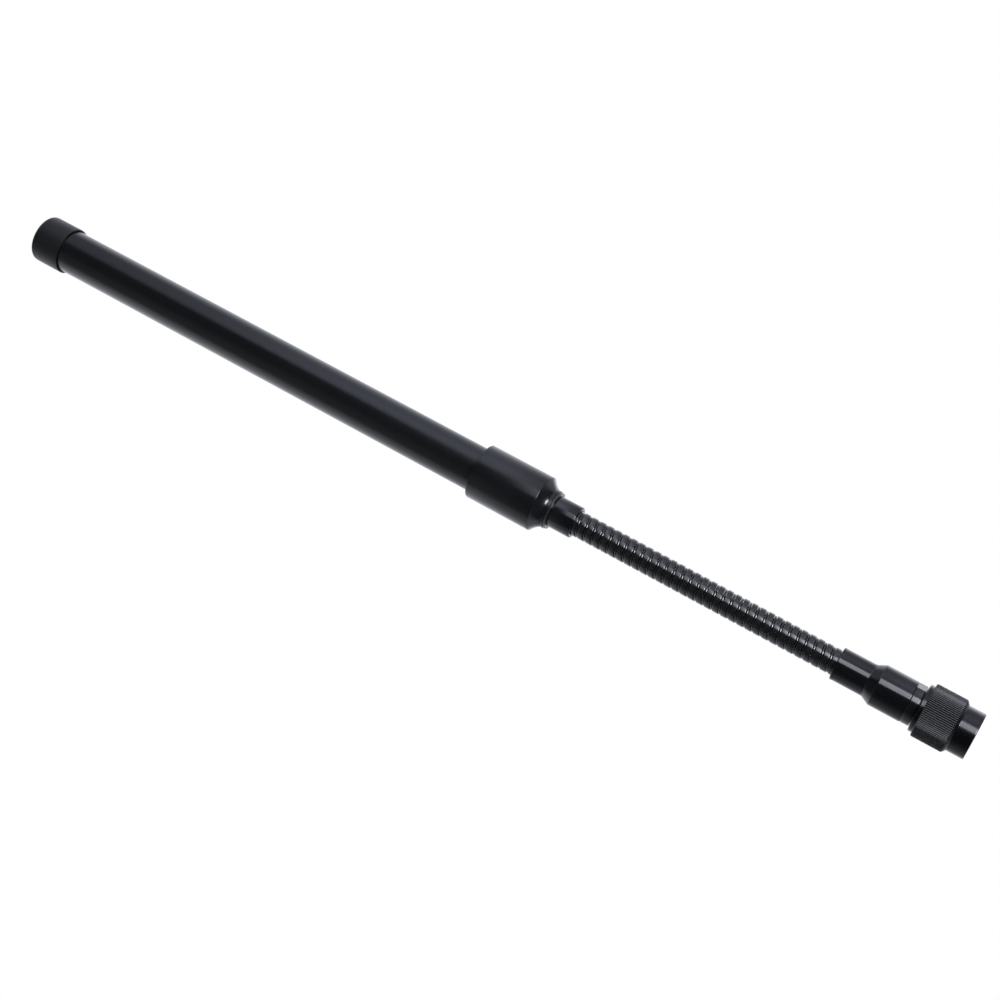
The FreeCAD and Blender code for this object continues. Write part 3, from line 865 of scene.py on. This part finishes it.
@dataclass
class Sleeve:
    """The black sleeve between the plug and the gooseneck."""

    place: Extent = field(default_factory=lambda: Extent.of("connector_sleeve"))
    wide_length: float = 8.82
    cone_length: float = 2.35
    slim_radius: float = 4.5
    lip_radius: float = 4.56
    lip_length: float = 1.0
    tail_radius: float = 4.25
    tail_top: float = 23.98
    bore_radius: float = 2.9
    seat_radius: float = 3.65
    seat_depth: float = 3.2

    def build(self) -> None:
        """Turn the sleeve."""
        foot = self.place.foot
        top = self.place.top
        cone_foot = foot + self.wide_length
        corners = [
            Corner(self.tail_radius, foot),
            Corner(self.place.radius, foot, 0.1),
            Corner(self.place.radius, cone_foot, 1.2),
            Corner(self.slim_radius, cone_foot + self.cone_length, 1.2),
            Corner(self.slim_radius, top - self.lip_length, 0.3),
            Corner(self.lip_radius, top - self.lip_length * 0.5, 0.3),
            Corner(self.lip_radius, top, 0.25),
            Corner(self.seat_radius, top, 0.15),
            Corner(self.seat_radius, top - self.seat_depth),
            Corner(self.bore_radius, top - self.seat_depth),
            Corner(self.bore_radius, self.tail_top),
            Corner(self.tail_radius, self.tail_top),
        ]
        turn_piece(
            "plug_sleeve", corners, SLEEVE_BLACK, "connector", "sleeve_black", "connector_sleeve"
        )


@dataclass(frozen=True)
class Stretch:
    """One stretch of the bendable neck, from one body to the next."""

    name: str
    lower: str
    upper: str
    foot: float
    top: float

    def bend(self, thing: bpy.types.Object, slot: str, node: str) -> None:
        """Bake a piece's transform and let it take the place of a node of the frame; the piece
        stays straight.
        """
        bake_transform(thing)
        stand_for(thing, node)


@dataclass(frozen=True)
class Wire:
    """One wire of the neck, in millimetres; its crown may lie below the other wire's."""

    name: str
    node: str
    slot: str
    finish: Finish
    foot: float
    top: float
    half_width: float
    crown: float
    root: float
    steps: int
    drop: float = 0.0
    squareness: float = 1.0


@dataclass(frozen=True)
class Layer:
    """One layer of the cable, with its two radii in millimetres."""

    node: str
    outer: float
    inner: float
    finish: Finish
    slot: str


@dataclass
class Neck:
    """The bendable neck: two interlocked wires and the cable inside them."""

    radius: float = field(default_factory=lambda: Extent.of("gooseneck_flat_wire").radius)
    foot: float = field(default_factory=lambda: Extent.of("connector_sleeve").top)
    top: float = field(default_factory=lambda: Extent.of("neck_bushing").foot)
    pitch: float = 2.4
    steps_each_turn: int = 56
    flat_wire: Wire = Wire(
        "flat_wire",
        "gooseneck_flat_wire",
        "flat_wire_steel",
        FLAT_WIRE_BLACK,
        foot=36.85,
        top=120.1,
        half_width=0.8,
        crown=0.3,
        root=0.85,
        steps=24,
        squareness=0.22,
    )
    round_wire: Wire = Wire(
        "round_wire",
        "gooseneck_round_wire",
        "round_wire_steel",
        ROUND_WIRE_BLACK,
        foot=35.65,
        top=118.9,
        half_width=0.32,
        crown=0.2,
        root=0.6,
        steps=16,
        drop=0.2,
    )
    layers: tuple[Layer, ...] = (
        Layer("cable_conductor", 0.26, 0.0, COPPER, "copper"),
        Layer("cable_dielectric", 0.77, 0.28, WAXY_WHITE, "cable_insulation"),
        Layer("cable_braid", 1.0, 0.79, BRAID_METAL, "braid_metal"),
        Layer("cable_jacket", 1.25, 1.02, JACKET_BLACK, "cable_jacket"),
    )
    cable_segments: int = 24
    cable_step: float = 0.8

    def stretches(self) -> list[Stretch]:
        """Divide the neck into three stretches of equal length.

        Returns:
            Three stretches, from the foot up.
        """
        bodies = ["connector", "lower_neck", "upper_neck", "head"]
        length = (self.top - self.foot) / 3
        return [
            Stretch(
                f"stretch_{index + 1}",
                bodies[index],
                bodies[index + 1],
                self.foot + index * length,
                self.foot + (index + 1) * length,
            )
            for index in range(3)
        ]

    def build(self) -> None:
        """Build both wires and the cable's layers."""
        self.build_wire(self.flat_wire)
        self.build_wire(self.round_wire)
        for layer in self.layers:
            self.build_layer(layer)

    def build_wire(self, wire: Wire) -> None:
        """Wind one wire, stretch by stretch.

        Args:
            wire: The wire.
        """
        tree = WireTree(wire.name, wire.finish)
        parts = self.stretches()
        for index, part in enumerate(parts):
            foot = wire.foot if index == 0 else part.foot
            top = wire.top if index == len(parts) - 1 else part.top
            values = {
                "Radius": (self.radius - wire.drop - wire.crown) * MM,
                "Pitch": self.pitch * MM,
                "Foot": foot * MM,
                "Turns": (top - foot) / self.pitch,
                "Start Angle": TURN * (foot - wire.foot) / self.pitch,
                "Half Width": wire.half_width * MM,
                "Crown": wire.crown * MM,
                "Root": wire.root * MM,
                "Squareness": wire.squareness,
                "Steps Each Turn": self.steps_each_turn,
                "Steps Across": wire.steps,
            }
            start = bpy.data.meshes.new(f"{wire.name}_start")
            piece = tree.run(start, f"{wire.name}_{part.name}", values)
            part.bend(piece, wire.slot, wire.node)

    def build_layer(self, layer: Layer) -> None:
        """Build one layer of the cable: a straight end at each side and a straight piece for each
        stretch of the neck.

        Args:
            layer: The layer.
        """
        place = Extent.of(layer.node)
        self.build_end(layer, "lower", "connector", place.foot, self.foot)
        for part in self.stretches():
            corners = tube_corners(layer.outer, layer.inner, part.foot, part.top)
            name = f"{layer.node}_{part.name}"
            mesh = lathe_mesh(name, corners, self.cable_segments, self.cable_step)
            part.bend(finished(mesh, name, layer.finish), layer.slot, layer.node)
        self.build_end(layer, "upper", "head", self.top, place.top)

    def build_end(self, layer: Layer, end: str, body: str, foot: float, top: float) -> None:
        """Build one straight end of a layer.

        Args:
            layer: The layer.
            end: Which end it is.
            body: The body that it rides on.
            foot: Where it starts, in millimetres.
            top: Where it ends.
        """
        corners = tube_corners(layer.outer, layer.inner, foot, top)
        name = f"{layer.node}_{end}"
        steps = self.cable_segments
        turn_piece(name, corners, layer.finish, body, layer.slot, layer.node, steps)


@dataclass
class Head:
    """Everything above the gooseneck: bushing, ring, collar, tube and cap."""

    bushing: Extent = field(default_factory=lambda: Extent.of("neck_bushing"))
    ring: Extent = field(default_factory=lambda: Extent.of("neck_seal_ring"))
    collar: Extent = field(default_factory=lambda: Extent.of("base_collar"))
    tube: Extent = field(default_factory=lambda: Extent.of("radome_tube"))
    cap: Extent = field(default_factory=lambda: Extent.of("tip_cap"))
    bushing_radius: float = 4.5
    bushing_tail: float = 3.9
    bushing_bore: float = 1.35
    neck_seat: float = 3.65
    neck_seat_depth: float = 5.4
    collar_hole: float = 3.95
    collar_neck: float = 5.55
    collar_neck_length: float = 0.57
    flare_length: float = 3.0
    flare_power: float = 1.7
    flare_steps: int = 12
    collar_floor: float = 4.9
    collar_room: float = 5.8
    tube_wall: float = 1.0
    tube_step: float = 8.0
    seat_gap: float = 0.05
    cap_wall: float = 0.95
    cap_flat: float = 0.6
    segments: int = 200

    def build(self) -> None:
        """Build every piece of the head and dress the aerial inside."""
        self.build_bushing()
        self.build_collar()
        self.build_tube()
        self.build_cap()
        dress_nodes(PLAIN_BRASS, "bushing_lock_nut", "choke_sleeve", "radiator_rod")
        dress_nodes(WAXY_WHITE, "feed_block")
        dress_nodes(SPACER_GREY, "lower_spacer", "upper_spacer")

    def build_bushing(self) -> None:
        """Turn the bushing and the ring above it."""
        place = self.bushing
        seat_top = place.foot + self.neck_seat_depth
        corners = [
            Corner(self.neck_seat, place.foot, 0.12),
            Corner(self.bushing_radius, place.foot, 0.35),
            Corner(self.bushing_radius, self.ring.foot, 0.1),
            Corner(self.bushing_tail, self.ring.foot),
            Corner(self.bushing_tail, place.top, 0.2),
            Corner(self.bushing_bore, place.top),
            Corner(self.bushing_bore, seat_top),
            Corner(self.neck_seat, seat_top),
        ]
        turn_piece("neck_barrel", corners, SLEEVE_BLACK, "head", "bushing_black", "neck_bushing")
        corners = [
            Corner(self.collar_hole, self.ring.foot),
            Corner(self.ring.radius, self.ring.foot, 0.1),
            Corner(self.ring.radius, self.ring.top, 0.1),
            Corner(self.collar_hole, self.ring.top),
        ]
        turn_piece("neck_ring", corners, SEAL_RUBBER, "head", "seal_rubber", "neck_seal_ring")

    def build_collar(self) -> None:
        """Turn the collar, with a hollow flare between its neck and its barrel."""
        place = self.collar
        flare_foot = place.foot + self.collar_neck_length
        floor = place.foot + self.collar_floor
        seat = self.tube.radius + self.seat_gap
        flare = []
        for step in range(self.flare_steps):
            part = step / self.flare_steps
            reach = (place.radius - self.collar_neck) * part**self.flare_power
            flare.append(Corner(self.collar_neck + reach, flare_foot + self.flare_length * part))
        corners = [
            Corner(self.collar_hole, place.foot),
            Corner(self.collar_neck, place.foot, 0.12),
            *flare,
            Corner(place.radius, flare_foot + self.flare_length, 0.22),
            Corner(place.radius, place.top, 0.3),
            Corner(seat, place.top, 0.1),
            Corner(seat, self.tube.foot),
            Corner(self.collar_room, self.tube.foot),
            Corner(self.collar_room, floor),
            Corner(self.collar_hole, floor),
        ]
        turn_piece(
            "collar", corners, COLLAR_BLACK, "head", "collar_black", "base_collar", self.segments
        )

    def build_tube(self) -> None:
        """Turn the long tube, with rings of points along it."""
        inner = self.tube.radius - self.tube_wall
        corners = tube_corners(self.tube.radius, inner, self.tube.foot, self.tube.top)
        steps = (self.segments, self.tube_step)
        turn_piece("mast_tube", corners, TUBE_BLACK, "head", "tube_black", "radome_tube", *steps)

    def build_cap(self) -> None:
        """Turn the soft cap with its rounded end."""
        inner = self.tube.radius + self.seat_gap
        corners = [
            Corner(0, self.cap.top),
            Corner(self.cap.radius * self.cap_flat, self.cap.top),
            Corner(self.cap.radius, self.cap.top, 1.3),
            Corner(self.cap.radius, self.cap.foot, 0.07),
            Corner(inner, self.cap.foot, 0.25),
            Corner(inner, self.cap.top - self.cap_wall),
            Corner(0, self.cap.top - self.cap_wall),
        ]
        steps = self.segments
        turn_piece("soft_cap", corners, CAP_RUBBER, "head", "cap_rubber", "tip_cap", steps)


SIDE_FADE = 0.86
COOL = (0.93, 0.98, 1.2)
PLAIN = (0.97, 1.0, 1.08)


@dataclass(frozen=True)
class Band:
    """How bright the surroundings are at a bearing from the camera's side, in degrees."""

    bearing: int
    level: float
    tint: Colour


@dataclass(frozen=True)
class Ring:
    """The surroundings at one height, given as the sine of its angle above the level."""

    height: float
    bands: tuple[Band, ...]


@dataclass(frozen=True)
class Lamp:
    """A soft lamp; its level is its brightness against plain white, its sizes are millimetres."""

    name: str
    bearing: float
    level: float
    width: float
    height: float
    centre: float
    distance: float = 700.0


def bands(levels: dict[int, float], cool: range = range(0)) -> tuple[Band, ...]:
    """Make the bands of a ring.

    Args:
        levels: How bright each bearing is.
        cool: The bearings that have the cool tint.

    Returns:
        The bands in order.
    """
    return tuple(
        Band(bearing, level, COOL if bearing in cool else PLAIN)
        for bearing, level in levels.items()
    )


PLUG_LEVELS = {
    -180: 1.5, -140: 0.75, -130: 0.55, -115: 0.45, -100: 0.34, -86: 0.25, -74: 0.13,
    -64: 0.06, -50: 0.02, 20: 0.02, 34: 0.62, 50: 0.66, 60: 0.95, 73: 0.85, 86: 0.64,
    100: 0.53, 117: 0.9, 130: 1.7, 140: 2.0, 180: 1.6,
}
NECK_LEVELS = {
    -180: 1.55, -136: 0.95, -118: 0.72, -103: 0.53, -91: 0.45, -80: 0.37, -72: 0.17,
    -60: 0.08, -45: 0.04, 20: 0.04, 32: 0.35, 50: 0.48, 80: 0.45, 106: 0.38, 120: 0.6,
    140: 1.4, 180: 1.6,
}
COLLAR_LEVELS = {
    -180: 1.6, -136: 1.12, -118: 1.0, -103: 0.73, -91: 0.64, -80: 0.56, -70: 0.21,
    -42: 0.12, -20: 0.09, 22: 0.09, 30: 0.3, 42: 1.0, 52: 1.5, 60: 1.47, 70: 1.18,
    80: 0.97, 91: 0.82, 103: 0.87, 118: 1.05, 140: 1.4, 180: 1.6,
}
HIGH_LEVELS = {
    -180: 1.2, -110: 0.4, -80: 0.1, 20: 0.04, 38: 0.5, 93: 0.5, 130: 1.0, 180: 1.2,
}


def tube_bands(front: float, side: float) -> tuple[Band, ...]:
    """Make the bands that the tube reflects.

    Args:
        front: How bright the cool side is near the camera.
        side: How bright it is at its far end.

    Returns:
        The bands in order.
    """
    levels = {
        -180: 1.6, -113: 1.3, -90: 0.95, -80: 0.7, -70: 0.27, -40: 0.24, -20: 0.08, 24: 0.05,
        38: front, 54: front, 79: side, 93: side * SIDE_FADE, 112: 1.0, 130: 1.35, 180: 1.6,
    }
    return bands(levels, range(38, 113))


def place_thing(
    thing: bpy.types.Object, axes: tuple[Vector, Vector, Vector], spot: Vector
) -> None:
    """Link a camera or lamp in its place.

    Args:
        thing: The camera or lamp.
        axes: Its right, up and back directions.
        spot: Where it stands, in millimetres.
    """
    turn = Matrix(axes).transposed().to_4x4()
    thing.matrix_world = Matrix.Translation(spot * MM) @ turn
    bpy.context.scene.collection.objects.link(thing)


@dataclass
class Studio:
    """The camera, the lamps, the pale surroundings and the floor."""

    target_height: float = 137.3
    distance: float = 476.2
    aim_right: float = 2.08
    aim_up: float = 3.81
    elevation: float = -16.0
    roll: float = 61.59
    lens: float = 63.41
    sensor: float = 36.0
    nearest: float = 0.01
    brightest: float = 2.0
    lamp_tint: Colour = (0.94, 0.98, 1.08)
    rings: tuple[Ring, ...] = (
        Ring(0.0, bands(PLUG_LEVELS, range(34, 118))),
        Ring(0.17, bands(NECK_LEVELS)),
        Ring(0.27, bands(COLLAR_LEVELS, range(30, 104))),
        Ring(0.37, tube_bands(1.4, 1.08)),
        Ring(0.455, tube_bands(0.77, 0.66)),
        Ring(0.53, tube_bands(0.42, 0.4)),
        Ring(0.75, bands(HIGH_LEVELS)),
    )
    lamps: tuple[Lamp, ...] = (
        Lamp("plug_window", 24, 4.4, 320, 330, -40),
        Lamp("low_window", 24, 28.0, 300, 250, -300),
        Lamp("neck_window", 26, 1.5, 400, 160, 205),
    )
    floor_reach: float = 2.0
    floor_level: float = -0.45
    floor_dim: Point = (0.05, 0.35)
    floor_shade: tuple[float, ...] = (0.05, 0.05, 0.055, 1.0)

    def build(self) -> None:
        """Set up the camera, the light and the floor."""
        self.place_camera()
        self.light_world()
        for lamp in self.lamps:
            self.add_lamp(lamp)
        self.add_floor()

    def view_axes(self) -> tuple[Vector, Vector, Vector]:
        """Work out how the camera is turned.

        Returns:
            The camera's right, up and back directions.
        """
        lift = math.radians(self.elevation)
        roll = math.radians(self.roll)
        back = Vector((0, -math.cos(lift), math.sin(lift)))
        level_up = Vector((0, math.sin(lift), math.cos(lift)))
        level_right = level_up.cross(back)
        up = level_up * math.cos(roll) + level_right * math.sin(roll)
        return up.cross(back), up, back

    def place_camera(self) -> None:
        """Put the camera where the photograph was taken from."""
        right, up, back = self.view_axes()
        target = Vector((0, 0, self.target_height))
        spot = target - right * self.aim_right - up * self.aim_up + back * self.distance
        camera = bpy.data.cameras.new("photo_camera")
        camera.lens = self.lens
        camera.sensor_width = self.sensor
        camera.clip_start = self.nearest
        thing = bpy.data.objects.new("photo_camera", camera)
        place_thing(thing, (right, up, back), spot)
        bpy.context.scene.camera = thing

    def add_lamp(self, sizes: Lamp) -> None:
        """Add a soft lamp that faces the axis.

        Args:
            sizes: The lamp.
        """
        lamp = bpy.data.lights.new(sizes.name, "AREA")
        lamp.shape = "RECTANGLE"
        lamp.size = sizes.width * MM
        lamp.size_y = sizes.height * MM
        lamp.color = self.lamp_tint
        lamp.energy = sizes.level * math.pi * lamp.size * lamp.size_y
        turn = math.radians(sizes.bearing)
        back = Vector((math.sin(turn), -math.cos(turn), 0))
        along = Vector((0, 0, 1))
        spot = along * sizes.centre + back * sizes.distance
        thing = bpy.data.objects.new(sizes.name, lamp)
        place_thing(thing, (along.cross(back), along, back), spot)

    def light_world(self) -> None:
        """Make surroundings that the camera sees as white, and the gloss as a pale studio."""
        world = bpy.data.worlds.new("pale_studio")
        bpy.context.scene.world = world
        world.use_nodes = True
        world.node_tree.nodes.clear()
        tree = Wiring(world.node_tree)
        graded = {"Color": self.surroundings(tree), "Strength": self.brightest}
        shaders = {
            "Fac": tree.node("ShaderNodeLightPath").outputs["Is Camera Ray"],
            1: tree.node("ShaderNodeBackground", graded).outputs["Background"],
            2: tree.node("ShaderNodeBackground", {"Color": WHITE}).outputs["Background"],
        }
        mix = tree.node("ShaderNodeMixShader", shaders)
        tree.node("ShaderNodeOutputWorld", {"Surface": mix.outputs["Shader"]})

    def surroundings(self, tree: Wiring) -> Socket:
        """Build the nodes that grade the surroundings by bearing and by height.

        Args:
            tree: The world's nodes.

        Returns:
            The socket that gives the surroundings' colour.
        """
        x, y, z = tree.split(tree.node("ShaderNodeTexCoord").outputs["Generated"])
        bearing = tree.math("ARCTAN2", x, tree.times(y, -1.0))
        share = tree.mapped(bearing, (-math.pi, math.pi))
        colour = self.ring_ramp(tree, share, self.rings[0])
        for lower, upper in zip(self.rings, self.rings[1:]):
            rise = tree.mapped(z, (lower.height, upper.height))
            colour = tree.tinted(rise, colour, self.ring_ramp(tree, share, upper))
        return colour

    def ring_ramp(self, tree: Wiring, share: Socket, ring: Ring) -> Socket:
        """Build the colour ramp of one ring.

        Args:
            tree: The world's nodes.
            share: The bearing, from 0 to 1 once round.
            ring: The ring whose bands the ramp holds.

        Returns:
            The socket that gives the ring's colour.
        """
        ramp = tree.node("ShaderNodeValToRGB", {"Fac": share})
        steps = ramp.color_ramp.elements
        while len(steps) < len(ring.bands):
            steps.new(0.5)
        for step, band in zip(steps, ring.bands):
            step.position = 0.5 + band.bearing / 360
            step.color = (*(part * band.level / self.brightest for part in band.tint), 1.0)
        return ramp.outputs["Color"]

    def add_floor(self) -> None:
        """Lay a wide white floor far below the plug."""
        shape = bmesh.new()
        signs = ((-1, -1), (1, -1), (1, 1), (-1, 1))
        corners = [(self.floor_reach * x, self.floor_reach * y, self.floor_level) for x, y in signs]
        shape.faces.new([shape.verts.new(corner) for corner in corners])
        mesh = bpy.data.meshes.new("floor")
        shape.to_mesh(mesh)
        shape.free()
        mesh.materials.append(self.floor_material())
        floor = bpy.data.objects.new("floor", mesh)
        bpy.context.scene.collection.objects.link(floor)

    def floor_material(self) -> bpy.types.Material:
        """Make a white finish, which the gloss of black parts sees dimly in front of the axis.

        Returns:
            The floor's material.
        """
        material = bpy.data.materials.new("floor_white")
        material.use_nodes = True
        tree = Wiring(material.node_tree)
        place = tree.split(tree.node("ShaderNodeTexCoord").outputs["Object"])
        near = tree.mapped(place[1], self.floor_dim, (1.0, 0.0))
        dim = tree.times(near, tree.node("ShaderNodeLightPath").outputs["Is Glossy Ray"])
        colour = material.node_tree.nodes["Principled BSDF"].inputs["Base Color"]
        tree.feed(colour, tree.tinted(dim, WHITE, self.floor_shade))
        return material


def main() -> None:
    """Build the antenna from the plug up, then the studio."""
    bpy.context.scene.view_settings.view_transform = "Standard"
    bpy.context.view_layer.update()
    Plug().build()
    Sleeve().build()
    Neck().build()
    Head().build()
    Studio().build()


if __name__ == "__main__":
    main()
